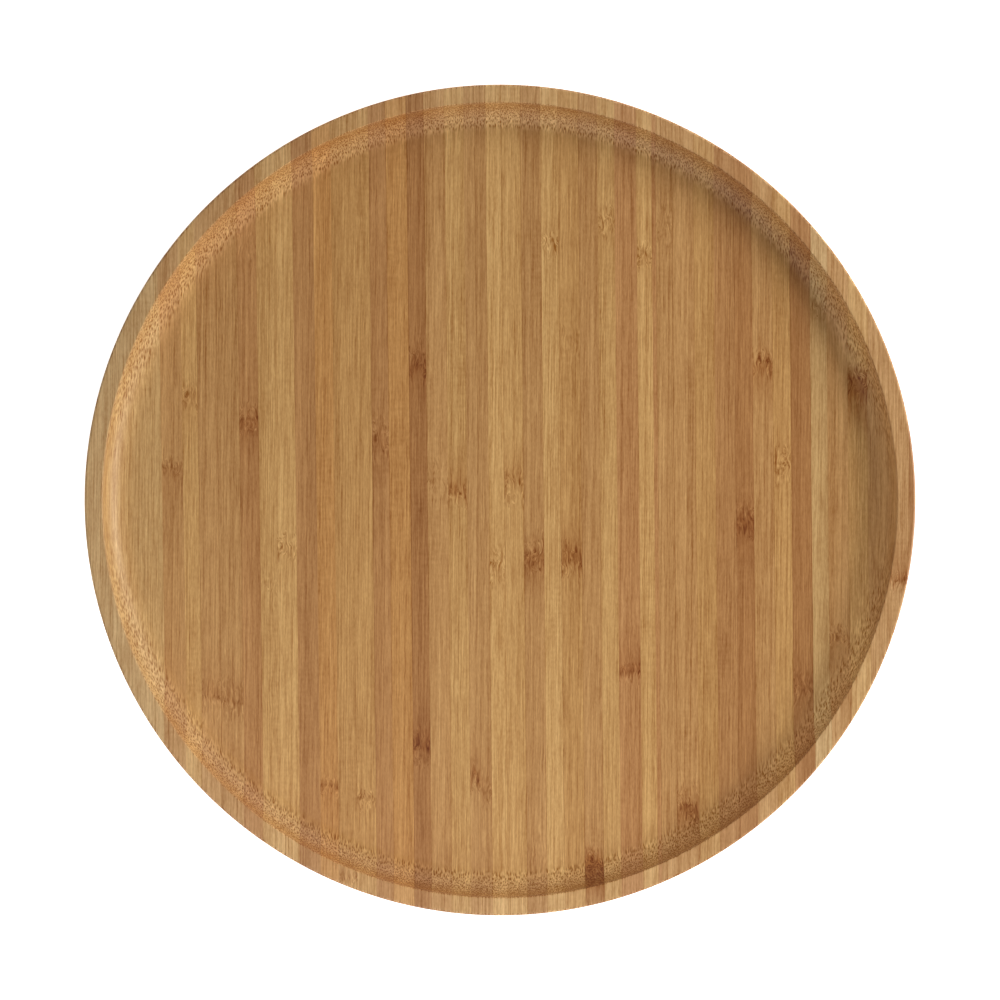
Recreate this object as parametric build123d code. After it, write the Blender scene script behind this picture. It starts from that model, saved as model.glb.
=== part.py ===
"""Lazy susan turntable: a turned bamboo tray on a ring ball bearing over a bamboo base.

Units are millimetres. +Z is up, the origin is the centre of the plane that the feet stand on,
and the bamboo staves run along Y. The tray turns about Z on the bearing. The base, the outer
race and the feet stay still, and the cage carries the balls round between the two races.
"""

import os
from math import cos, pi, radians, sin, sqrt

from build123d import *

# ---- Tray: one round turned from a panel of glued bamboo staves ----
tray_diameter = 350.0
tray_thickness = 18.0
well_depth = 10.0
rim_land = 7.6  # flat top of the rim, from the outer wall to the lip of the well
cove_radius = 12.0  # hollow curve that rises from the well's floor, up to its lip or to a plain wall
lip_round = 0.5
rim_outer_round = 1.0
tray_under_round = 4.0

# ---- Base: a smaller bamboo round ----
base_diameter = 220.0
base_thickness = 12.0
base_edge_round = 2.5
access_diameter = 16.0  # the hole that a screwdriver reaches the tray screws through

# ---- Bearing: aluminium races, steel balls, nylon cage ----
bearing_diameter = 140.0
race_width = 10.4  # of each race, from its face to the gap between the two
bearing_height = 8.5
ring_step = 0.75  # how far a ring stands back from the wood that it turns past
ball_diameter = 5.0
ball_count = 30
race_gap = 2.2  # between the facing walls of the two races
ball_clearance = 0.05  # from a ball to its groove, all round
cage_wall = 1.5
cage_bridge = 0.6  # cage left above and below a pocket
pocket_clearance = 0.15
ring_edge_break = 0.3

# ---- Rivets that hold the two halves of the outer race together ----
rivet_count = 6
rivet_diameter = 3.0
rivet_head_diameter = 4.4

# ---- Countersunk wood screws through the races ----
race_screw_count = 6
race_screw_diameter = 3.5
race_screw_head_diameter = 6.6
race_screw_hole_clearance = 0.25
head_sink = 0.1  # a countersunk head lies this far under the face of its ring
base_screw_bite = 8.0  # length of screw in the base
tray_screw_bite = 5.2  # length of screw in the tray's floor

# ---- Feet: rubber pads, each with a washer and a pan-head wood screw ----
foot_count = 6
foot_diameter = 16.0
foot_stand = 3.5  # height of the pad below the base
foot_seat_depth = 1.0  # shallow seat in the base that locates the pad
foot_inset = 10.0  # from the edge of the pad to the edge of the base
foot_taper = 0.8  # how much narrower the pad's radius is at the floor
foot_round = 0.8
foot_web = 1.6  # rubber between the washer and the base
foot_recess_diameter = 8.6
washer_diameter = 8.0
washer_thickness = 0.6
foot_screw_diameter = 3.0
foot_screw_head_diameter = 6.0
foot_screw_head_height = 1.7
foot_screw_hole_clearance = 0.25
foot_screw_bite = 8.0

# ---- Common to all screws ----
thread_pitch = 1.3
thread_depth = 0.55
tip_length = 2.2
tip_radius = 0.2
cross_width = 0.9
cross_taper = 8.0  # degrees
pilot_clearance = 0.02  # from the crest of a thread to its hole
seat_clearance = 0.02  # from a countersunk head to its seat

# ---- Heights, worked up from the floor ----
base_bottom = foot_stand
base_top = base_bottom + base_thickness
tray_bottom = base_top + bearing_height
tray_top = tray_bottom + tray_thickness
well_floor = tray_top - well_depth
cove_rise = min(cove_radius, well_depth)
cove_reach = sqrt(cove_radius ** 2 - (cove_radius - cove_rise) ** 2)
bearing_middle = base_top + bearing_height / 2
outer_race_top = tray_bottom - ring_step
inner_race_bottom = base_top + ring_step

# ---- Radii of the bearing ----
ball_radius = ball_diameter / 2
groove_radius = ball_radius + ball_clearance
outer_radius = bearing_diameter / 2
outer_race_wall = outer_radius - race_width
pitch_radius = outer_race_wall - race_gap / 2
inner_race_wall = pitch_radius - race_gap / 2
bore_radius = inner_race_wall - race_width
outer_hole_circle = (outer_radius + pitch_radius + groove_radius) / 2
inner_hole_circle = (bore_radius + pitch_radius - groove_radius) / 2

# ---- Places round the axis, in degrees ----
race_screw_angles = [360 / race_screw_count * i for i in range(race_screw_count)]
rivet_angles = [360 / rivet_count * (i + 0.5) for i in range(rivet_count)]
foot_angles = [360 / foot_count * (i + 0.5) for i in range(foot_count)]
foot_circle = base_diameter / 2 - foot_inset - foot_diameter / 2


def around(radius, degrees, height=0.0):
    """A place on a circle about the axis."""
    angle = radians(degrees)
    return Pos(radius * cos(angle), radius * sin(angle), height)


def turned(outline):
    """A closed outline in the XZ plane, turned about Z."""
    return revolve(make_face(outline), Axis.Z)


def solid_of_points(points):
    """Straight lines through (radius, height) points, turned about Z."""
    return turned(Plane.XZ * Polyline(*points, close=True))


def circles_at(shape, height):
    """The circular edges at one height, from the smallest to the largest."""
    return shape.edges().filter_by_position(Axis.Z, height, height).sort_by(SortBy.LENGTH)


def screw_shank(diameter, top, bottom):
    """A shank from top down to a point at bottom, with a ridge for each turn of the thread."""
    crest = diameter / 2
    root = crest - thread_depth
    points = [(0, top), (root, top)]
    ridge = top - thread_pitch
    while ridge - thread_pitch / 2 > bottom + tip_length:
        points += [(root, ridge + thread_pitch / 4), (crest, ridge), (root, ridge - thread_pitch / 4)]
        ridge -= thread_pitch
    points += [(root, bottom + tip_length), (tip_radius, bottom), (0, bottom)]
    return solid_of_points(points)


def cross_recess(head_radius, depth):
    """The driver's cross, cut down from Z = 0."""
    arm = head_radius * 1.1
    bars = Rectangle(arm, cross_width) + Rectangle(cross_width, arm)
    return extrude(bars, -depth, taper=cross_taper)


def countersunk_screw(diameter, head_diameter, length):
    """A countersunk wood screw pointing down, with the top of its head at Z = 0."""
    head_radius = head_diameter / 2
    crest = diameter / 2
    head_depth = head_radius - crest
    neck = -head_depth - thread_pitch
    head = solid_of_points([(0, 0), (head_radius, 0), (crest, -head_depth), (crest, neck), (0, neck)])
    screw = head + screw_shank(diameter, neck, -length)
    return screw - cross_recess(head_radius, head_depth * 0.9)


def pan_screw(diameter, head_diameter, head_height, length):
    """A pan-head wood screw pointing down, with the underside of its head at Z = 0."""
    head = Cylinder(head_diameter / 2, head_height, align=(Align.CENTER, Align.CENTER, Align.MIN))
    head = fillet(head.edges().group_by(Axis.Z)[-1], head_height * 0.55)
    screw = head + screw_shank(diameter, 0, -length)
    return screw - Pos(0, 0, head_height) * cross_recess(head_diameter / 2, head_height * 0.7)


def round_hole(radius, bottom, top):
    """A cutter for a plain round hole."""
    return Pos(0, 0, bottom) * Cylinder(radius, top - bottom, align=(Align.CENTER, Align.CENTER, Align.MIN))


def countersink(facing):
    """A cutter for a race screw's hole, with its mouth at Z = 0, facing up for 1 and down for -1."""
    clear = race_screw_diameter / 2 + race_screw_hole_clearance
    seat = race_screw_head_diameter / 2 + head_sink + seat_clearance
    cone = seat - clear
    reach = bearing_height + 1
    points = [(0, 1), (seat, 1), (seat, 0), (clear, -cone), (clear, -reach), (0, -reach)]
    return solid_of_points([(r, z * facing) for r, z in points])


base_screw_top = outer_race_top - head_sink
base_screw_length = base_screw_top - base_top + base_screw_bite
tray_screw_top = inner_race_bottom + head_sink
tray_screw_length = tray_bottom - tray_screw_top + tray_screw_bite
foot_web_bottom = base_bottom + foot_seat_depth - foot_web
foot_screw_seat = foot_web_bottom - washer_thickness
foot_screw_length = base_bottom + foot_seat_depth - foot_screw_seat + foot_screw_bite


def make_tray():
    """The turned round: flat rim, hollow cove and flat floor, with blind holes below."""
    outer = tray_diameter / 2
    lip = outer - rim_land
    cove_top, cove_foot = (lip, well_floor + cove_rise), (lip - cove_reach, well_floor)
    outline = [(0, well_floor), (0, tray_bottom), (outer, tray_bottom), (outer, tray_top), (lip, tray_top)]
    if cove_rise < well_depth:
        outline.append(cove_top)  # a plain wall stands above the cove
    with BuildSketch(Plane.XZ) as section:
        with BuildLine():
            Polyline(*outline)
            RadiusArc(cove_top, cove_foot, cove_radius)
            Line(cove_foot, (0, well_floor))
        make_face()
    tray = revolve(section.sketch, Axis.Z)
    tray = fillet(circles_at(tray, tray_bottom), tray_under_round)
    tray = fillet(circles_at(tray, tray_top)[-1:], rim_outer_round)
    tray = fillet(circles_at(tray, tray_top)[:1], lip_round)
    pilot_radius = race_screw_diameter / 2 + pilot_clearance
    pilot = round_hole(pilot_radius, tray_bottom - 1, tray_bottom + tray_screw_bite)
    for angle in race_screw_angles:
        tray -= around(inner_hole_circle, angle) * pilot
    return tray


def make_base():
    """The lower round, with screw holes above, foot seats below and one access hole through it."""
    base = Pos(0, 0, base_bottom) * Cylinder(
        base_diameter / 2, base_thickness, align=(Align.CENTER, Align.CENTER, Align.MIN))
    base = fillet(base.edges().filter_by(GeomType.CIRCLE), base_edge_round)
    pilot = round_hole(race_screw_diameter / 2 + pilot_clearance, base_top - base_screw_bite, base_top + 1)
    for angle in race_screw_angles:
        base -= around(outer_hole_circle, angle) * pilot
    seat_top = base_bottom + foot_seat_depth
    seat = round_hole(foot_diameter / 2, base_bottom - 1, seat_top)
    hole = round_hole(foot_screw_diameter / 2 + pilot_clearance, base_bottom - 1, seat_top + foot_screw_bite)
    for angle in foot_angles:
        base -= around(foot_circle, angle) * (seat + hole)
    access = round_hole(access_diameter / 2, base_bottom - 1, base_top + 1)
    return base - around(inner_hole_circle, race_screw_angles[0]) * access


def ring(inner, outer, bottom, top):
    """A plain ring with its four edges broken."""
    e = ring_edge_break
    return solid_of_points([
        (inner + e, bottom), (outer - e, bottom), (outer, bottom + e), (outer, top - e),
        (outer - e, top), (inner + e, top), (inner, top - e), (inner, bottom + e),
    ])


def ball_track():
    """The round groove that the balls run in, cut from whichever race it is taken from."""
    return Pos(0, 0, bearing_middle) * Torus(pitch_radius, groove_radius)


def rivet():
    """A rivet closed at both ends, flush with the faces of the outer race."""
    shank = rivet_diameter / 2
    head = rivet_head_diameter / 2
    cone = head - shank
    return solid_of_points([
        (0, base_top), (head, base_top), (shank, base_top + cone),
        (shank, outer_race_top - cone), (head, outer_race_top), (0, outer_race_top),
    ])


def make_rivets():
    return [around(outer_hole_circle, angle) * rivet() for angle in rivet_angles]


def make_outer_race(bottom, top, rivets):
    """One half of the outer race: a ring from bottom to top, grooved, drilled and riveted."""
    half = ring(outer_race_wall, outer_radius, bottom, top) - ball_track()
    cutter = Pos(0, 0, outer_race_top) * countersink(1)
    for angle in race_screw_angles:
        half -= around(outer_hole_circle, angle) * cutter
    for pin in rivets:
        half -= pin
    return half


def make_inner_race():
    race = ring(bore_radius, inner_race_wall, inner_race_bottom, tray_bottom) - ball_track()
    cutter = Pos(0, 0, inner_race_bottom) * countersink(-1)
    for angle in race_screw_angles:
        race -= around(inner_hole_circle, angle) * cutter
    return race


def make_cage():
    """A thin band between the races, with a round pocket for each ball."""
    pocket_radius = ball_radius + pocket_clearance
    half_height = pocket_radius + cage_bridge
    inner = pitch_radius - cage_wall / 2
    outer = pitch_radius + cage_wall / 2
    cage = solid_of_points([
        (inner, bearing_middle - half_height), (outer, bearing_middle - half_height),
        (outer, bearing_middle + half_height), (inner, bearing_middle + half_height),
    ])
    pocket = Rot(0, 90, 0) * Cylinder(pocket_radius, cage_wall * 3)
    for i in range(ball_count):
        turn = Rot(0, 0, 360 / ball_count * i)
        cage -= turn * (Pos(pitch_radius, 0, bearing_middle) * pocket)
    return cage


def make_ball(index):
    return around(pitch_radius, 360 / ball_count * index, bearing_middle) * Sphere(ball_radius)


def make_base_screws():
    screw = Pos(0, 0, base_screw_top) * countersunk_screw(
        race_screw_diameter, race_screw_head_diameter, base_screw_length)
    return [around(outer_hole_circle, angle) * screw for angle in race_screw_angles]


def make_tray_screws():
    """The same screw the other way up: its head faces down, where the access hole reaches it."""
    screw = Pos(0, 0, tray_screw_top) * (Rot(180, 0, 0) * countersunk_screw(
        race_screw_diameter, race_screw_head_diameter, tray_screw_length))
    return [around(inner_hole_circle, angle) * screw for angle in race_screw_angles]


def make_foot(angle):
    """A rubber pad: a straight collar in its seat, tapered below, hollowed for the screw's head."""
    radius = foot_diameter / 2
    toe = radius - foot_taper
    seat_top = base_bottom + foot_seat_depth
    pad = solid_of_points([
        (0, 0), (toe, 0), (radius, base_bottom), (radius, seat_top), (0, seat_top)])
    pad = fillet(pad.edges().filter_by(GeomType.CIRCLE).sort_by(Axis.Z)[:1], foot_round)
    pad -= round_hole(foot_recess_diameter / 2, -1, foot_web_bottom)
    pad -= round_hole(foot_screw_diameter / 2 + foot_screw_hole_clearance, -1, seat_top + 1)
    return around(foot_circle, angle) * pad


def make_foot_washers():
    outer = round_hole(washer_diameter / 2, foot_screw_seat, foot_web_bottom)
    bore = foot_screw_diameter / 2 + foot_screw_hole_clearance
    washer = outer - round_hole(bore, foot_screw_seat - 1, foot_web_bottom + 1)
    return [around(foot_circle, angle) * washer for angle in foot_angles]


def make_foot_screws():
    screw = Pos(0, 0, foot_screw_seat) * (Rot(180, 0, 0) * pan_screw(
        foot_screw_diameter, foot_screw_head_diameter, foot_screw_head_height, foot_screw_length))
    return [around(foot_circle, angle) * screw for angle in foot_angles]


def export(name, shape):
    if isinstance(shape, list):
        shape = Compound(children=shape)
    export_step(shape, f"parts/{name}.step")


def main():
    os.makedirs("parts", exist_ok=True)
    rivets = make_rivets()
    export("tray", make_tray())
    export("base_disc", make_base())
    export("outer_race_lower", make_outer_race(base_top, bearing_middle, rivets))
    export("outer_race_upper", make_outer_race(bearing_middle, outer_race_top, rivets))
    export("race_rivets", rivets)
    export("inner_race", make_inner_race())
    export("ball_cage", make_cage())
    for i in range(ball_count):
        export(f"bearing_ball_{i + 1:02d}", make_ball(i))
    export("base_screws", make_base_screws())
    export("tray_screws", make_tray_screws())
    for i, angle in enumerate(foot_angles):
        export(f"rubber_foot_{i + 1}", make_foot(angle))
    export("foot_washers", make_foot_washers())
    export("foot_screws", make_foot_screws())


main()
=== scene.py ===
"""Looks of a lazy susan turntable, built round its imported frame.

Metres, +Z up, staves along Y. The tray, the base and the feet are turned from their profiles.
The bearing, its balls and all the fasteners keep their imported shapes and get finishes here.
"""

import math
import random

import bmesh
import bpy
from mathutils import Matrix, Vector


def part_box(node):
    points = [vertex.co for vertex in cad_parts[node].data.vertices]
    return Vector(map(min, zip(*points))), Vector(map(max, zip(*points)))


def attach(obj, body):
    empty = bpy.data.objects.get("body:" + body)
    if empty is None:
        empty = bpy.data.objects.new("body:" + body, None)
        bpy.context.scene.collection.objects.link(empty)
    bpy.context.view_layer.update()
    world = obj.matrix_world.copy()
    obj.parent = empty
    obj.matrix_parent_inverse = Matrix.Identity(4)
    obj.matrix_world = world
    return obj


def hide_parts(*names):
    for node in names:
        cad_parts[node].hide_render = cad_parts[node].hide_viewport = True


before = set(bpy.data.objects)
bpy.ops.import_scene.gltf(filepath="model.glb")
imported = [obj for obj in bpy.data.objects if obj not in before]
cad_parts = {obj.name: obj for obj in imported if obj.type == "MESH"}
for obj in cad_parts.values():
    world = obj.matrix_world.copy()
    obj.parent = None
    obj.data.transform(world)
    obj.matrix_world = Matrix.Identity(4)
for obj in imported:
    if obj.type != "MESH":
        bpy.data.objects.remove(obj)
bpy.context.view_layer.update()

MM = 0.001

# ---- Sizes of the turned pieces, in metres ----
tray_low, tray_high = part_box("tray")
base_low, base_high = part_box("base_disc")
tray_radius = tray_high.x
base_radius = base_high.x
well_depth = 10.0 * MM
well_floor = tray_high.z - well_depth
rim_land = 7.6 * MM  # width of the rim, from the outer wall to the lip of the well
lip_radius = tray_radius - rim_land
lip_round = 0.5 * MM
lip_straight = 0.5 * MM  # short straight from the end of the cove's arc up to the lip
cove_round = 12.0 * MM
rim_outer_round = 1.0 * MM
tray_under_round = 4.0 * MM
base_edge_round = 2.5 * MM
flat_margin = 0.4 * MM  # a ring of faces that keeps a flat surface flat beside a rounding
sharp_angle = math.radians(40)  # edges that turn more than this stay sharp

foot_count = 6
foot_names = [f"rubber_foot_{i + 1}" for i in range(foot_count)]
foot_radius = 8.0 * MM
foot_recess_radius = 4.3 * MM
foot_bore_radius = 1.75 * MM
foot_toe_inset = 0.8 * MM
foot_toe_round = 0.8 * MM
foot_recess_round = 0.25 * MM
foot_seat_depth = 1.0 * MM
foot_web = 1.6 * MM  # rubber left between the recess and the wood

screw_count = 6
screw_head_radius = 3.3 * MM
race_pilot_radius = 1.77 * MM
foot_pilot_radius = 1.52 * MM
tray_pilot_depth = 5.2 * MM
base_pilot_depth = 8.0 * MM
foot_pilot_depth = 9.0 * MM
drill_start = 1.0 * MM  # how far outside the wood a drill starts
drill_sides = 64

# ---- How the tray's panel is laid up, from left to right: width in mm, tone, knuckles ----
# A knuckle is (mm along the stave from the middle, kind, the side its stain fades to: 1 or -1).
tray_lay_up = [
    (8.5, "ash", []),
    (8.4, "ash", []),
    (8.2, "ash", []),
    (7.6, "ash", []),
    (9.0, "tan", [(12, "plain", -1)]),
    (6.6, "pale", [(44.5, "plain", -1)]),
    (8.2, "tan", [(-84, "plain", 1)]),
    (9.4, "tan", [(-86, "plain", 1)]),
    (8.0, "toasted", [(34, "dark", -1), (106, "faint", -1)]),
    (7.2, "pale", [(-36, "light", -1)]),
    (8.2, "pale", [(-20, "crisp", -1)]),
    (8.8, "toasted", []),
    (7.6, "amber", [(-121, "plain", -1)]),
    (8.0, "honey", [(-160, "plain", 1)]),
    (8.0, "honey", [(-126, "crisp", -1)]),
    (7.2, "toasted", [(27, "plain", -1)]),
    (8.8, "amber", []),
    (7.2, "brown", [(59, "dark", -1), (-104, "dark", 1)]),
    (8.8, "tan", [(8, "light", 1)]),
    (8.0, "pale", [(2, "dark", 1)]),
    (4.6, "tan", [(-118, "dark", 1)]),
    (4.6, "tan", [(-123, "plain", 1)]),
    (6.5, "straw", [(-27, "crisp", -1)]),
    (8.2, "pale", [(7, "plain", 1)]),
    (8.4, "tan", [(-22, "dark", -1), (-150, "faint", -1)]),
    (7.2, "straw", [(109, "crisp", 1)]),
    (8.8, "honey", [(-26, "dark", 1), (68, "faint", -1)]),
    (8.0, "tan", [(-152, "burnt", -1)]),
    (7.2, "pale", [(119, "crisp", -1)]),
    (9.2, "rose", [(-72, "dark", 1)]),
    (6.4, "pale", [(105, "crisp", -1)]),
    (1.7, "rose", []),
    (6.8, "tan", [(118, "light", -1)]),
    (9.2, "tan", [(-128, "dark", -1)]),
    (8.4, "honey", []),
    (8.4, "toasted", []),
    (7.6, "brown", [(-6, "dark", -1)]),
    (8.4, "tan", [(60, "dark", -1)]),
    (7.6, "honey", [(17, "crisp", 1)]),
    (8.4, "brown", [(-79, "plain", 1)]),
    (7.0, "ash", [(84, "plain", -1)]),
    (8.6, "tan", [(-55, "plain", -1)]),
    (8.2, "pale", [(52, "burnt", -1)]),
    (8.2, "tan", []),
    (8.6, "tan", [(-32, "dark", 1)]),
    (3.2, "brown", []),
]
stave_lean = math.radians(0.55)  # how far the panel's staves lean from the Y axis
stave_fan = math.radians(0.4)  # how much more they lean at the left edge
shade_spread = 0.02  # how far a stave's shade strays from its tone

# ---- The base's panel, which nobody sorted ----
base_tones = ["pale", "honey", "honey", "tan", "tan", "rose", "toasted", "brown"]
base_widths = (6.8, 9.2)  # mm
base_knuckle_share = 0.6  # of its staves that show a knuckle
base_knuckle_reach = 90  # mm each way from the middle
base_knuckles = ["plain", "dark", "crisp"]

bamboo_tones = {
    "ash": (194, 155, 96),
    "straw": (204, 161, 97),
    "pale": (198, 154, 91),
    "honey": (192, 146, 84),
    "amber": (193, 142, 79),
    "tan": (187, 141, 83),
    "rose": (185, 135, 80),
    "toasted": (179, 130, 75),
    "brown": (170, 120, 67),
}
# Tints that a stave's tone is multiplied by: red, green, blue and alpha.
deep_tint = (0.5, 0.28, 0.05, 1)  # between the fibres
pale_tint = (1.42, 1.53, 1.83, 1)  # on the fibres
sanded_tint = (1.06, 1.14, 1.36, 1)  # on the rim and the outer edge
stain_tint = (0.7, 0.5, 0.34, 1)  # at a knuckle

knuckle_kinds = {  # how much the fibres curl, and how dark the stain is
    "faint": (0.3, 0.05),
    "light": (0.5, -0.3),
    "plain": (0.7, 0.35),
    "crisp": (1.0, 0.15),
    "dark": (0.9, 0.65),
    "burnt": (1.0, 1.4),
}
knuckle_names = ("knuckle_a", "knuckle_b")  # a stave shows two at the most
knuckle_heart = 2.25  # mm each way along the stave where a knuckle is strongest
knuckle_edge = 7.2  # mm each way at which it has died away
knuckle_fade = 26.0  # mm over which its stain fades out
no_knuckle = (1000.0, 0.0, 0.0)  # far off the end of the stave


def linear(colour):
    """A display colour of 0 to 255 as linear red, green, blue and alpha."""
    steps = [c / 255 for c in colour]
    return tuple(s / 12.92 if s <= 0.04045 else ((s + 0.055) / 1.055) ** 2.4 for s in steps) + (1.0,)


# ---------------------------------------------------------------- Node trees

def find_socket(sockets, key):
    """A socket by its number, its identifier or the first one in use with its name."""
    if isinstance(key, int):
        return sockets[key]
    for socket in sockets:
        if key == socket.identifier:
            return socket
    return next(s for s in sockets if s.name == key and s.enabled)


class Signal:
    """A value in a node tree that can be added, multiplied, compared and so on."""

    def __init__(self, plan, socket):
        self.plan = plan
        self.socket = socket

    def _maths(self, operation, a, b=0.0):
        return self.plan.node("ShaderNodeMath", {"operation": operation}, {0: a, 1: b})

    def __add__(self, other):
        return self._maths("ADD", self, other)

    def __sub__(self, other):
        return self._maths("SUBTRACT", self, other)

    def __rsub__(self, other):
        return self._maths("SUBTRACT", other, self)

    def __mul__(self, other):
        return self._maths("MULTIPLY", self, other)

    def __truediv__(self, other):
        return self._maths("DIVIDE", self, other)

    def __mod__(self, other):
        return self._maths("MODULO", self, other)

    def __abs__(self):
        return self._maths("ABSOLUTE", self)

    __radd__ = __add__
    __rmul__ = __mul__

    def sign(self):
        return self._maths("SIGN", self)

    def floor(self):
        return self._maths("FLOOR", self)

    def smaller(self, other):
        return self._maths("MINIMUM", self, other)

    def ramp(self, low, high):
        """A smooth rise from 0 at low to 1 at high, or a fall where low is above high."""
        down = low > high
        rise = self.plan.node("ShaderNodeMapRange", {"interpolation_type": "SMOOTHSTEP"}, {
            "Value": self, "From Min": min(low, high), "From Max": max(low, high)})
        return 1 - rise if down else rise

    def out(self, name):
        """Another output of the same node."""
        return Signal(self.plan, find_socket(self.socket.node.outputs, name))


class Plan:
    """A node tree being written."""

    def __init__(self, tree):
        self.tree = tree

    def node(self, kind, settings=None, inputs=None, out=0):
        """Adds a node: its settings first, then its sockets' values or links. Returns one output."""
        made = self.tree.nodes.new(kind)
        for name, value in (settings or {}).items():
            setattr(made, name, value)
        for key, value in (inputs or {}).items():
            self.join(value, find_socket(made.inputs, key))
        return Signal(self, find_socket(made.outputs, out)) if made.outputs else None

    def join(self, value, socket):
        """Links a signal to a socket, or sets the socket's own value."""
        if isinstance(value, Signal):
            self.tree.links.new(value.socket, socket)
        else:
            socket.default_value = value

    def vector(self, x=0.0, y=0.0, z=0.0):
        return self.node("ShaderNodeCombineXYZ", None, {"X": x, "Y": y, "Z": z})

    def part_of(self, vector, axis):
        return self.node("ShaderNodeSeparateXYZ", None, {"Vector": vector}, axis)


# ---------------------------------------------------------------- Geometry Nodes

class Recipe(Plan):
    """A Geometry Nodes tree with named inputs."""

    def __init__(self, name, inputs):
        super().__init__(bpy.data.node_groups.new(name, "GeometryNodeTree"))
        sockets = self.tree.interface
        for label, kind in [("Geometry", "Geometry"), *inputs, ("Material", "Material")]:
            sockets.new_socket(label, in_out="INPUT", socket_type="NodeSocket" + kind)
        sockets.new_socket("Geometry", in_out="OUTPUT", socket_type="NodeSocketGeometry")
        self.start = self.node("NodeGroupInput")

    def given(self, label):
        return self.start.out(label)

    def finish(self, geometry):
        """Makes any instances real, sets the material and ends the tree."""
        whole = self.node("GeometryNodeRealizeInstances", None, {"Geometry": geometry})
        done = self.node("GeometryNodeSetMaterial", None, {
            "Geometry": whole, "Material": self.given("Material")})
        self.node("NodeGroupOutput", None, {"Geometry": done})
        return self.tree


def lathe_recipe():
    """Rounds the corners of a profile in the XZ plane and turns it about Z."""
    r = Recipe("lathe", [("Segments", "Int"), ("Arc Steps", "Int")])
    outline = r.node("GeometryNodeMeshToCurve", None, {"Mesh": r.given("Geometry")})
    radius = r.node("GeometryNodeInputNamedAttribute", {"data_type": "FLOAT"}, {"Name": "round"})
    rounded = r.node("GeometryNodeFilletCurve", {"mode": "POLY"}, {
        "Curve": outline, "Radius": radius, "Count": r.given("Arc Steps")})
    profile = r.node("GeometryNodeCurveToMesh", None, {"Curve": rounded})
    points = r.node("GeometryNodeAttributeDomainSize", {"component": "MESH"}, {
        "Geometry": profile}, "Point Count")

    # A sheet of points, one column for each point of the profile, is wrapped round the axis.
    columns = points.out("Edge Count") + 1
    rows = r.given("Segments") + 1
    sheet = r.node("GeometryNodeMeshGrid", None, {"Vertices X": rows, "Vertices Y": columns})
    index = r.node("GeometryNodeInputIndex")
    column = index % columns % points
    row = ((index + 0.5) / columns).floor()
    place = r.node("GeometryNodeSampleIndex", {"data_type": "FLOAT_VECTOR", "domain": "POINT"}, {
        "Geometry": profile, "Value": r.node("GeometryNodeInputPosition"), "Index": column})
    angle = row / r.given("Segments") * (2 * math.pi)
    wrapped = r.node("GeometryNodeSetPosition", None, {
        "Geometry": sheet,
        "Position": r.node("ShaderNodeVectorRotate", {"rotation_type": "Z_AXIS"}, {
            "Vector": place, "Angle": angle})})
    return r.finish(r.node("GeometryNodeMergeByDistance", None, {"Geometry": wrapped, "Distance": 1e-6}))


def drill_recipe():
    """Plain round drills standing in a ring about Z."""
    r = Recipe("drill_ring", [
        ("Count", "Int"), ("Circle Radius", "Float"), ("First Angle", "Float"),
        ("Drill Radius", "Float"), ("Bottom", "Float"), ("Top", "Float")])
    circle = r.node("GeometryNodeMeshCircle", None, {
        "Vertices": r.given("Count"), "Radius": r.given("Circle Radius")})
    lift = r.vector(z=(r.given("Bottom") + r.given("Top")) * 0.5)
    placed = r.node("GeometryNodeTransform", None, {
        "Geometry": circle, "Translation": lift, "Rotation": r.vector(z=r.given("First Angle"))})
    drill = r.node("GeometryNodeMeshCylinder", None, {
        "Vertices": drill_sides, "Radius": r.given("Drill Radius"),
        "Depth": r.given("Top") - r.given("Bottom")})
    return r.finish(r.node("GeometryNodeInstanceOnPoints", None, {"Points": placed, "Instance": drill}))


lathe = lathe_recipe()
drill_ring = drill_recipe()


def add_object(name, mesh):
    made = bpy.data.objects.new(name, mesh)
    bpy.context.scene.collection.objects.link(made)
    return made


def frozen(host, name):
    """The mesh that an object's modifiers make of it."""
    graph = bpy.context.evaluated_depsgraph_get()
    made = bpy.data.meshes.new_from_object(host.evaluated_get(graph), depsgraph=graph)
    made.name = name
    return made


def grow(name, mesh, tree, values):
    """Runs a tree on a mesh with the given inputs and returns the result as a plain mesh."""
    host = add_object(name + "_host", mesh)
    modifier = host.modifiers.new("tree", "NODES")
    modifier.node_group = tree
    for item in tree.interface.items_tree:
        if item.in_out == "INPUT" and item.name in values:
            modifier[item.identifier] = values[item.name]
    made = frozen(host, name)
    host.modifiers.remove(modifier)
    bpy.data.objects.remove(host)
    return made


def outward(mesh):
    """Merges doubles and points every face outwards."""
    work = bmesh.new()
    work.from_mesh(mesh)
    bmesh.ops.remove_doubles(work, verts=work.verts, dist=1e-6)
    bmesh.ops.recalc_face_normals(work, faces=work.faces)
    work.to_mesh(mesh)
    work.free()
    return mesh


def turned(name, corners, segments, arc_steps, closed=False):
    """A mesh turned about Z from corners of (radius, height, round)."""
    outline = bpy.data.meshes.new(name + "_outline")
    links = [(i, i + 1) for i in range(len(corners) - 1)]
    if closed:
        links.append((len(corners) - 1, 0))
    outline.from_pydata([(radius, 0, height) for radius, height, _ in corners], links, [])
    put(outline, "round", "FLOAT", "POINT", [rounding for _, _, rounding in corners])
    return outward(grow(name, outline, lathe, {"Segments": segments, "Arc Steps": arc_steps}))


def drills(count, circle_radius, first_angle, radius, bottom, top):
    return grow("drills", bpy.data.meshes.new("no_mesh"), drill_ring, {
        "Count": count, "Circle Radius": circle_radius, "First Angle": first_angle,
        "Drill Radius": radius, "Bottom": bottom, "Top": top})


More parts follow.
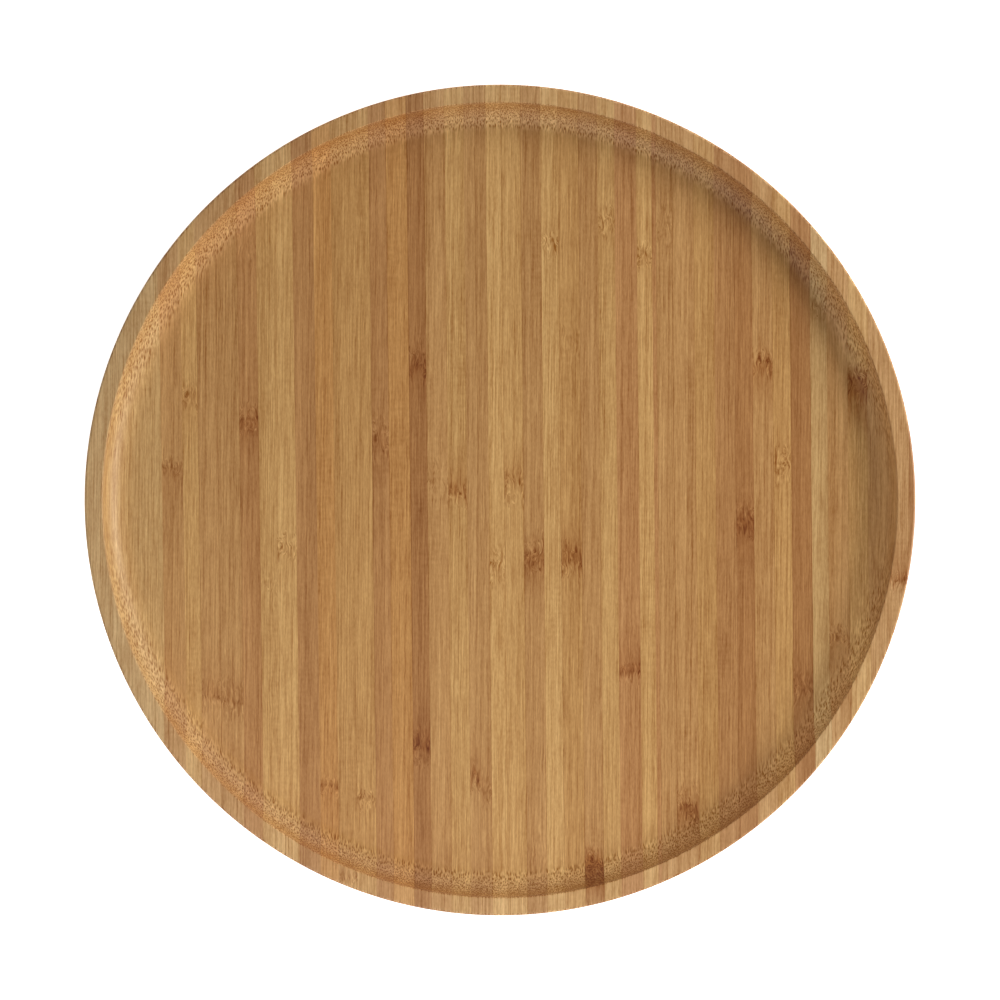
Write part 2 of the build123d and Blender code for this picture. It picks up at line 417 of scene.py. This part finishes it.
def drilled(mesh, cutters):
    """The mesh with every cutter taken out of it."""
    body = add_object(mesh.name + "_blank", mesh)
    tools = [add_object("tool", cutter) for cutter in cutters]
    for tool in tools:
        cut = body.modifiers.new("cut", "BOOLEAN")
        cut.object, cut.operation, cut.solver = tool, "DIFFERENCE", "EXACT"
    made = frozen(body, mesh.name)
    for spare in tools + [body]:
        bpy.data.objects.remove(spare)
    return made


def put(mesh, name, kind, domain, values):
    """Stores a flat list of values as a named attribute."""
    field = {"FLOAT": "value", "FLOAT_COLOR": "color", "FLOAT_VECTOR": "vector"}[kind]
    mesh.attributes.new(name, kind, domain).data.foreach_set(field, values)


# ---------------------------------------------------------------- Finishes
# A finish works in millimetres: a pattern's scales are in cycles per millimetre.

class Finish(Plan):
    """A material being written."""

    def __init__(self, name, **uniform):
        self.material = bpy.data.materials.new(name)
        self.material.use_nodes = True
        super().__init__(self.material.node_tree)
        self.tree.nodes.clear()
        surface = self.node("ShaderNodeBsdfPrincipled", None, {
            label.replace("_", " "): value for label, value in uniform.items()})
        self.shader = surface.socket.node
        self.node("ShaderNodeOutputMaterial", None, {"Surface": surface})

    def place(self, lean=0.0):
        """The object's own coordinates in millimetres, turned so that Y runs along the grain."""
        here = self.node("ShaderNodeTexCoord", None, None, "Object")
        return self.node("ShaderNodeMapping", {"vector_type": "POINT"}, {
            "Vector": here, "Scale": (1000, 1000, 1000), "Rotation": (0, 0, lean)})

    def moved(self, vector, by):
        return self.node("ShaderNodeVectorMath", {"operation": "ADD"}, {0: vector, 1: by})

    def stretched(self, vector, by, shift=None):
        """A vector scaled by three numbers and shifted by another vector."""
        sized = self.node("ShaderNodeVectorMath", {"operation": "MULTIPLY"}, {0: vector, 1: by})
        return sized if shift is None else self.moved(sized, shift)

    def from_axis(self, place):
        """How far a place is from the Z axis."""
        flat = self.stretched(place, (1, 1, 0))
        return self.node("ShaderNodeVectorMath", {"operation": "LENGTH"}, {0: flat}, "Value")

    def noise(self, vector, detail=2.0, roughness=0.5, distortion=0.0):
        """Noise about zero, from about -1 to 1."""
        made = self.node("ShaderNodeTexNoise", {"noise_dimensions": "3D"}, {
            "Vector": vector, "Scale": 1.0, "Detail": detail, "Roughness": roughness,
            "Distortion": distortion})
        return (made - 0.5) * 2

    def cells(self, vector, dimensions):
        """The distance to the nearest of many scattered points, one to each unit square or cube."""
        return self.node("ShaderNodeTexVoronoi", {"voronoi_dimensions": dimensions}, {
            "Vector": vector, "Scale": 1.0}, "Distance")

    def attribute(self, name, out="Fac"):
        return self.node("ShaderNodeAttribute", {
            "attribute_name": name, "attribute_type": "GEOMETRY"}, None, out)

    def mixed(self, a, b, factor, blend="MIX"):
        return self.node("ShaderNodeMix", {"data_type": "RGBA", "blend_type": blend, "clamp_factor": True}, {
            "Factor_Float": factor, "A_Color": a, "B_Color": b}, "Result_Color")

    def tinted(self, colour, tint, factor=None):
        """A colour times a tint, everywhere or as far as the factor says."""
        full = self.mixed(colour, tint, 1.0, "MULTIPLY")
        return full if factor is None else self.mixed(colour, full, factor)

    def coloured(self, colour):
        self.join(colour, self.shader.inputs["Base Color"])

    def rough(self, roughness):
        self.join(roughness, self.shader.inputs["Roughness"])

    def bumped(self, height, depth):
        """Relief: height runs from 0 to 1, and depth is its full size in metres."""
        bump = self.node("ShaderNodeBump", None, {"Height": height, "Distance": depth, "Strength": 1.0})
        self.join(bump, self.shader.inputs["Normal"])


def knuckle_marks(f, along, ragged, seed):
    """How much the knuckles curl the fibres, stain them and raise a ridge at each place."""
    core, stain, ridge = 0.0, 0.0, 0.0
    for name in knuckle_names:
        spot = f.attribute(name, "Vector")
        middle, curl, darkness = (f.part_of(spot, axis) for axis in "XYZ")
        run = along - middle + ragged
        near = abs(run / (seed + 0.6)).ramp(knuckle_edge, knuckle_heart)
        tail = run * curl.sign()
        tail = tail.ramp(knuckle_fade, 0.0) * tail.ramp(-3.0, 1.0)
        core = near * abs(curl) + core
        stain = (near * 0.45 + tail * 0.7) * darkness + stain
        ridge = abs(run - ragged * 0.5).ramp(1.1, 0.3) * abs(curl) + ridge
    return core, stain, ridge


def bamboo_finish():
    """Side-pressed bamboo: long fibres, bundle ends on end grain, knuckles and glue lines."""
    f = Finish("satin_bamboo", Coat_Weight=0.04, Coat_Roughness=0.35, Specular_IOR_Level=0.35)
    place = f.place(stave_lean)
    seed = f.attribute("stave_seed")
    shift = f.vector(seed * 37.0, seed * 11.0, seed * 53.0)
    across = f.attribute("stave_across")
    width = f.attribute("stave_width")
    slope = abs(f.part_of(f.node("ShaderNodeTexCoord", None, None, "Normal"), "Y"))
    end_grain = slope.ramp(0.05, 0.25)

    def drawn_out(where, across_scale, along_scale, detail, roughness=0.5):
        """Noise that is drawn out along the stave, and different on each stave."""
        scales = (across_scale, along_scale, across_scale)
        return f.noise(f.stretched(where, scales, shift), detail, roughness)

    # The knuckles are ragged bands. Near them the fibres curl, as a wobble of their places.
    off_middle = across / width - 0.5
    ragged = drawn_out(place, 0.9, 0.05, 1.0) * 6.5 + off_middle * off_middle * 6.0
    core, stain, ridge = knuckle_marks(f, f.part_of(place, "Y"), ragged, seed)
    curl = core + abs(stain) * 0.3
    wobble = drawn_out(place, 0.22, 0.11, 1.0) * (curl * 3.6 + 0.3)
    wavy = f.moved(place, f.vector(wobble, 0.0, wobble))

    # From the broadest to the finest: drift along a stave, bands, grain, fibres and flecks.
    drift = drawn_out(place, 0.07, 0.012, 1.0)
    bands = drawn_out(wavy, 0.16, 0.002, 1.0, 0.6)
    grain = drawn_out(wavy, 0.7, 0.004, 2.0, 0.9)
    fibres = drawn_out(wavy, 1.5, 0.06, 1.0, 0.7)
    flecks = drawn_out(wavy, 1.7, 0.5, 1.0, 0.6)
    streaks = drawn_out(wavy, 0.85, 0.11, 2.0, 0.75)
    ripples = drawn_out(wavy, 0.2, 0.8, 0.0) * drift.ramp(-0.1, 0.5)
    section = f.vector(f.part_of(wavy, "X"), f.part_of(wavy, "Z"))
    bundles = f.cells(f.stretched(section, (1.4, 1.4, 0), shift), "2D").ramp(0.42, 0.14)
    joint = across.smaller(width - across)
    glue_line = joint.ramp(0.35, 0.05) * seed.ramp(0.35, 0.9)

    dark = bands * 0.42 + grain * (0.95 + core * 0.5) + fibres * 0.95 + flecks * 0.5
    dark = dark + drift * 0.3 + ripples * 0.25 + bundles * 0.35 - 0.12 + glue_line * 0.5
    dark = dark + streaks * core * 1.9 + ridge * (streaks * 0.8 + 0.35) + stain * 0.3
    dark = dark + end_grain * (bundles * 1.1 - 0.2 + flecks * 0.6) + slope.ramp(0.4, 1.0) * 0.45

    sanded = f.from_axis(place).ramp(lip_radius / MM - 1, lip_radius / MM + 1)
    tone = f.tinted(f.attribute("stave_tone", "Color"), sanded_tint, sanded)
    tone = f.tinted(tone, stain_tint, stain * (streaks * 0.9 + 1.0))
    f.coloured(f.mixed(f.tinted(tone, deep_tint), f.tinted(tone, pale_tint), 0.5 - dark * 0.37))
    f.rough(0.46 + fibres * 0.08 + end_grain * 0.12)
    height = 0.6 + fibres * 0.15 - bundles * (0.1 + end_grain * 0.4) - glue_line * 0.3 - ridge * 0.2
    f.bumped(height, 0.06 * MM)
    return f.material


def turned_metal_finish(name, colour, roughness, line_scale):
    """Metal with fine concentric tool marks."""
    f = Finish(name, Metallic=1.0)
    place = f.place()
    marks = f.vector(x=f.from_axis(place) * line_scale, z=f.part_of(place, "Z") * line_scale)
    rings = f.noise(marks, 3.0, 0.6)
    smudge = f.noise(f.stretched(place, (0.05, 0.05, 0.05)), 4.0, 0.6)
    dull = linear([c * 0.8 for c in colour])
    f.coloured(f.mixed(linear(colour), dull, (rings * 0.5 + smudge).ramp(-0.4, 0.9)))
    f.rough(roughness + rings * 0.06 + smudge * 0.08)
    f.bumped(0.5 + rings * 0.5, 0.012 * MM)
    return f.material


def plated_finish(name, colour, roughness, tint):
    """Plated steel: slightly uneven plating, small pits and rubbed places."""
    f = Finish(name, Metallic=1.0)
    place = f.place()
    cloud = f.noise(f.stretched(place, (0.35, 0.35, 0.35)), 4.0, 0.6)
    pits = f.cells(f.stretched(place, (3.0, 3.0, 3.0)), "3D").ramp(0.3, 0.05)
    f.coloured(f.mixed(linear(colour), linear(tint), cloud.ramp(-0.5, 0.7)))
    f.rough(roughness + cloud * 0.08 + pits * 0.15)
    f.bumped(0.6 - pits * 0.5 + cloud * 0.1, 0.02 * MM)
    return f.material


def moulded_finish(name, colour, shade, roughness, grain_depth):
    """Moulded nylon or rubber: fine grain, faint flow marks and a little dust."""
    f = Finish(name, Specular_IOR_Level=0.4)
    place = f.place()
    grain = f.noise(f.stretched(place, (6.0, 6.0, 6.0)), 3.0, 0.6)
    flow = f.noise(f.stretched(place, (0.25, 0.25, 0.8)), 3.0, 0.5, distortion=0.6)
    dust = f.noise(f.stretched(place, (1.2, 1.2, 1.2)), 5.0, 0.7).ramp(0.15, 0.7)
    f.coloured(f.mixed(linear(colour), linear(shade), (flow * 0.6 + dust * 0.7 + 0.1).ramp(0.0, 1.0)))
    f.rough(roughness + grain * 0.06 + dust * 0.1)
    f.bumped(0.5 + grain * 0.4, grain_depth)
    return f.material


# ---------------------------------------------------------------- Staves

def joints_of(lay_up):
    """The places of the glue joints across the panel, in metres, centred on the axis."""
    total = sum(width for width, _, _ in lay_up)
    places = [-total / 2]
    for width, _, _ in lay_up:
        places.append(places[-1] + width)
    return [p * MM for p in places]


def lean_at(joint):
    """How far a joint leans to the right for each metre along it."""
    return math.tan(stave_lean + stave_fan * max(0.0, -joint / tray_radius))


def past_joint(place, joint):
    """How far a place is to the right of a joint."""
    return place[0] + lean_at(joint) * place[1] - joint


def cut_at(mesh, joints):
    work = bmesh.new()
    work.from_mesh(mesh)
    for joint in joints:
        whole = work.verts[:] + work.edges[:] + work.faces[:]
        bmesh.ops.bisect_plane(
            work, geom=whole, dist=1e-7, plane_co=(joint, 0, 0), plane_no=(1, lean_at(joint), 0))
    work.to_mesh(mesh)
    work.free()


def stave_at(place, joints):
    """The number of the stave that a place is in, counted from the left."""
    for i, joint in enumerate(joints):
        if past_joint(place, joint) < 0:
            return i
    return len(joints)


def tone_of(tone, shade):
    red, green, blue, _ = linear(bamboo_tones[tone])
    return (red * shade, green * shade, blue * shade, 1.0)


def marks_of(knuckles):
    """Two knuckles as (place along the stave, curl signed by the side of the stain, darkness)."""
    marks = []
    for along, kind, side in knuckles:
        curl, darkness = knuckle_kinds[kind]
        marks.append((along, side * curl, darkness))
    return marks + [no_knuckle, no_knuckle]


def laid_up(mesh, lay_up, seed):
    """Cuts a turned mesh at its glue joints and tells each face which stave it is in."""
    joints = joints_of(lay_up)
    cut_at(mesh, joints[1:-1])
    draw = random.Random(seed)
    seeds = [draw.random() for _ in lay_up]
    shades = [1 + draw.uniform(-shade_spread, shade_spread) for _ in lay_up]
    marks = [marks_of(knuckles) for _, _, knuckles in lay_up]
    tones = [tone_of(tone, shade) for (_, tone, _), shade in zip(lay_up, shades)]
    staves = [stave_at(face.center, joints[1:-1]) for face in mesh.polygons]

    put(mesh, "stave_tone", "FLOAT_COLOR", "FACE", [part for s in staves for part in tones[s]])
    put(mesh, "stave_seed", "FLOAT", "FACE", [seeds[s] for s in staves])
    put(mesh, "stave_width", "FLOAT", "FACE", [lay_up[s][0] for s in staves])
    for i, name in enumerate(knuckle_names):
        put(mesh, name, "FLOAT_VECTOR", "FACE", [part for s in staves for part in marks[s][i]])
    across = [0.0] * len(mesh.loops)
    for face, stave in zip(mesh.polygons, staves):
        for loop in face.loop_indices:
            corner = mesh.vertices[mesh.loops[loop].vertex_index].co
            across[loop] = past_joint(corner, joints[stave]) / MM
    put(mesh, "stave_across", "FLOAT", "CORNER", across)
    return mesh


def mixed_lay_up(width, seed):
    """A lay-up for a panel that nobody sorted: tones and widths as they came."""
    draw = random.Random(seed)
    lay_up, laid = [], 0.0
    while laid < width:
        tone = draw.choice(base_tones)
        size = draw.uniform(*base_widths)
        knuckles = []
        if draw.random() < base_knuckle_share:
            along = draw.uniform(-base_knuckle_reach, base_knuckle_reach)
            knuckles.append((along, draw.choice(base_knuckles), draw.choice([-1, 1])))
        lay_up.append((size, tone, knuckles))
        laid += size
    return lay_up


# ---------------------------------------------------------------- The pieces

def stand_in(name, mesh, material, node, body):
    """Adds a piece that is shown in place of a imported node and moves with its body."""
    mesh.materials.clear()
    mesh.materials.append(material)
    mesh.shade_smooth()
    mesh.set_sharp_from_angle(angle=sharp_angle)
    piece = add_object(name, mesh)
    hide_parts(node)
    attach(piece, body)


def make_tray(bamboo):
    # The cove's arc ends before it is upright. A short straight in line with its end meets the lip.
    turn = math.acos((cove_round - well_depth) / math.hypot(cove_round, lip_straight))
    turn -= math.atan2(lip_straight, cove_round)
    cove_foot = lip_radius - cove_round * math.sin(turn) - lip_straight * math.cos(turn)
    corners = [
        (0, well_floor, 0),
        (cove_foot - flat_margin, well_floor, 0),
        (cove_foot + cove_round * math.tan(turn / 2), well_floor, cove_round),
        (lip_radius, tray_high.z, lip_round),
        (lip_radius + lip_round + flat_margin, tray_high.z, 0),
        (tray_radius - rim_outer_round - flat_margin, tray_high.z, 0),
        (tray_radius, tray_high.z, rim_outer_round),
        (tray_radius, tray_low.z, tray_under_round),
        (tray_radius - tray_under_round - flat_margin, tray_low.z, 0),
        (0, tray_low.z, 0),
    ]
    blank = turned("tray_panel", corners, segments=512, arc_steps=20)
    screw_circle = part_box("tray_screws")[1].x - screw_head_radius
    pilots = drills(screw_count, screw_circle, 0, race_pilot_radius,
                    tray_low.z - drill_start, tray_low.z + tray_pilot_depth)
    mesh = laid_up(drilled(blank, [pilots]), tray_lay_up, 4)
    stand_in("turned_tray", mesh, bamboo, "tray", "turntable")


def make_base(bamboo):
    middle = (base_low.z + base_high.z) / 2
    corners = [
        (0, base_high.z, 0),
        (base_radius - base_edge_round - flat_margin, base_high.z, 0),
        (base_radius, base_high.z, base_edge_round),
        (base_radius, middle, 0),
        (base_radius, base_low.z, base_edge_round),
        (base_radius - base_edge_round - flat_margin, base_low.z, 0),
        (0, base_low.z, 0),
    ]
    blank = turned("base_panel", corners, segments=384, arc_steps=10)
    screw_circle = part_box("base_screws")[1].x - screw_head_radius
    foot_low, foot_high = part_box(foot_names[1])  # the one that stands on the Y axis
    foot_circle = (foot_low.y + foot_high.y) / 2
    first_foot = math.radians(180 / foot_count)
    under = base_low.z - drill_start
    cutters = [
        drills(screw_count, screw_circle, 0, race_pilot_radius,
               base_high.z - base_pilot_depth, base_high.z + drill_start),
        drills(foot_count, foot_circle, first_foot, foot_radius, under, base_low.z + foot_seat_depth),
        drills(foot_count, foot_circle, first_foot, foot_pilot_radius, under,
               base_low.z + foot_pilot_depth),
    ]
    mesh = laid_up(drilled(blank, cutters), mixed_lay_up(2 * base_radius / MM, 11), 7)
    stand_in("turned_base", mesh, bamboo, "base_disc", "base")


def make_feet(rubber):
    """Six moulded pads, each with a rounded toe and a recess for the screw's head."""
    seat_top = base_low.z + foot_seat_depth
    web_bottom = seat_top - foot_web
    corners = [
        (foot_bore_radius, web_bottom, 0),
        (foot_recess_radius, web_bottom, foot_recess_round),
        (foot_recess_radius, 0, foot_recess_round),
        (foot_radius - foot_toe_inset, 0, foot_toe_round),
        (foot_radius, base_low.z, 0),
        (foot_radius, seat_top, 0),
        (foot_bore_radius, seat_top, 0),
    ]
    for name in foot_names:
        low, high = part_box(name)
        mesh = turned(name + "_pad", corners, segments=96, arc_steps=6, closed=True)
        mesh.transform(Matrix.Translation(((low.x + high.x) / 2, (low.y + high.y) / 2, 0)))
        stand_in(name.replace("rubber_foot", "foot_pad"), mesh, rubber, name, "base")


def paint(finishes):
    """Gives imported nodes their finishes: a dict of name beginnings to materials."""
    for name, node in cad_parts.items():
        for beginning, material in finishes.items():
            if name.startswith(beginning):
                for slot in node.material_slots:
                    slot.material = material


bamboo = bamboo_finish()
make_tray(bamboo)
make_base(bamboo)
make_feet(moulded_finish("moulded_rubber", (38, 38, 38), (62, 60, 57), 0.62, 0.03 * MM))
zinc = plated_finish("zinc_plated_steel", (188, 190, 188), 0.34, (176, 172, 152))
paint({
    "outer_race": turned_metal_finish("turned_aluminium", (196, 198, 201), 0.3, 9.0),
    "inner_race": turned_metal_finish("turned_aluminium_inner", (200, 202, 204), 0.3, 11.0),
    "race_rivets": plated_finish("pressed_aluminium", (186, 188, 190), 0.36, (168, 170, 173)),
    "ball_cage": moulded_finish("natural_nylon", (226, 220, 204), (206, 198, 178), 0.48, 0.015 * MM),
    "bearing_ball": plated_finish("polished_steel", (205, 206, 208), 0.12, (190, 192, 195)),
    "base_screws": zinc,
    "tray_screws": zinc,
    "foot_screws": zinc,
    "foot_washers": plated_finish("washer_steel", (180, 182, 183), 0.4, (160, 158, 148)),
})


# ---------------------------------------------------------------- Studio

floor_reach = 6.0  # metres each way
painted_shadow_radius = base_radius / MM - 35  # mm, inside which the floor hardly glows: a painted shadow under the tray
soft_lights = {  # bearing and height in degrees, distance and size in metres, power in watts
    "key": (0, 20, 1.1, 0.4, 7.9),
    "key_far": (45, 20, 1.1, 0.4, 2.7),
    "back": (67, 25, 1.1, 0.5, 3.9),
    "front": (270, 28, 1.1, 0.5, 2.1),
    "front_left": (245, 45, 0.7, 0.35, 2.4),
}
wall_foot, wall_top = 0.12, 0.24  # slopes of the line of sight at which the pale walls start to fade and end
wall_glow, room_glow = 0.88, 0.02
camera_lens, camera_sensor = 200.0, 36.0  # mm
tray_share = 0.8314  # of the frame's width that the tray fills


def make_floor():
    """A plain pale floor, bright enough to read as white, that glows less under the tray as a painted
    shadow.
    """
    f = Finish("pale_floor", Roughness=0.9, Emission_Strength=0.85)
    place = f.place()
    speck = f.noise(f.stretched(place, (0.02, 0.02, 0.02)), 4.0)
    f.coloured(f.mixed(linear((244, 244, 243)), linear((238, 238, 237)), speck.ramp(-0.5, 0.5)))
    # Painted shadow: the glow fades from the tray's edge inwards, down to a dim grey under the tray.
    glow_outside_painted_shadow = f.from_axis(place).ramp(painted_shadow_radius, tray_radius / MM)
    f.join(f.mixed((0.12, 0.12, 0.12, 1), (1, 1, 1, 1), glow_outside_painted_shadow), f.shader.inputs["Emission Color"])
    mesh = bpy.data.meshes.new("floor")
    s = floor_reach
    mesh.from_pydata([(-s, -s, 0), (s, -s, 0), (s, s, 0), (-s, s, 0)], [], [(0, 1, 2, 3)])
    mesh.materials.append(f.material)
    add_object("floor", mesh)


def make_light(name, bearing, height, distance, size, power):
    """A soft square light aimed at the tray."""
    data = bpy.data.lights.new(name, "AREA")
    data.shape = "SQUARE"
    data.size, data.energy = size, power
    light = add_object(name, data)
    turn, tilt = math.radians(bearing), math.radians(height)
    away = Vector((math.cos(tilt) * math.cos(turn), math.cos(tilt) * math.sin(turn), math.sin(tilt)))
    light.location = away * distance + Vector((0, 0, tray_high.z))
    light.rotation_euler = away.to_track_quat("Z", "Y").to_euler()


def make_room():
    """A dim room whose pale walls shine near the horizon."""
    room = bpy.data.worlds.new("room")
    room.use_nodes = True
    plan = Plan(room.node_tree)
    slope = plan.part_of(plan.node("ShaderNodeTexCoord", None, None, "Generated"), "Z")
    background = room.node_tree.nodes["Background"]
    plan.join(slope.ramp(wall_top, wall_foot) * wall_glow + room_glow, background.inputs["Strength"])
    plan.join((1, 1, 1, 1), background.inputs["Color"])
    bpy.context.scene.world = room


def make_camera():
    """Straight above, far off behind a long lens."""
    data = bpy.data.cameras.new("camera")
    data.lens, data.sensor_width = camera_lens, camera_sensor
    data.clip_end = 50
    camera = add_object("camera", data)
    distance = 2 * tray_radius / tray_share * camera_lens / camera_sensor
    camera.location = (0, 0, tray_high.z + distance)
    bpy.context.scene.camera = camera


make_floor()
for name, numbers in soft_lights.items():
    make_light(name, *numbers)
make_room()
make_camera()
bpy.context.scene.view_settings.view_transform = "Standard"
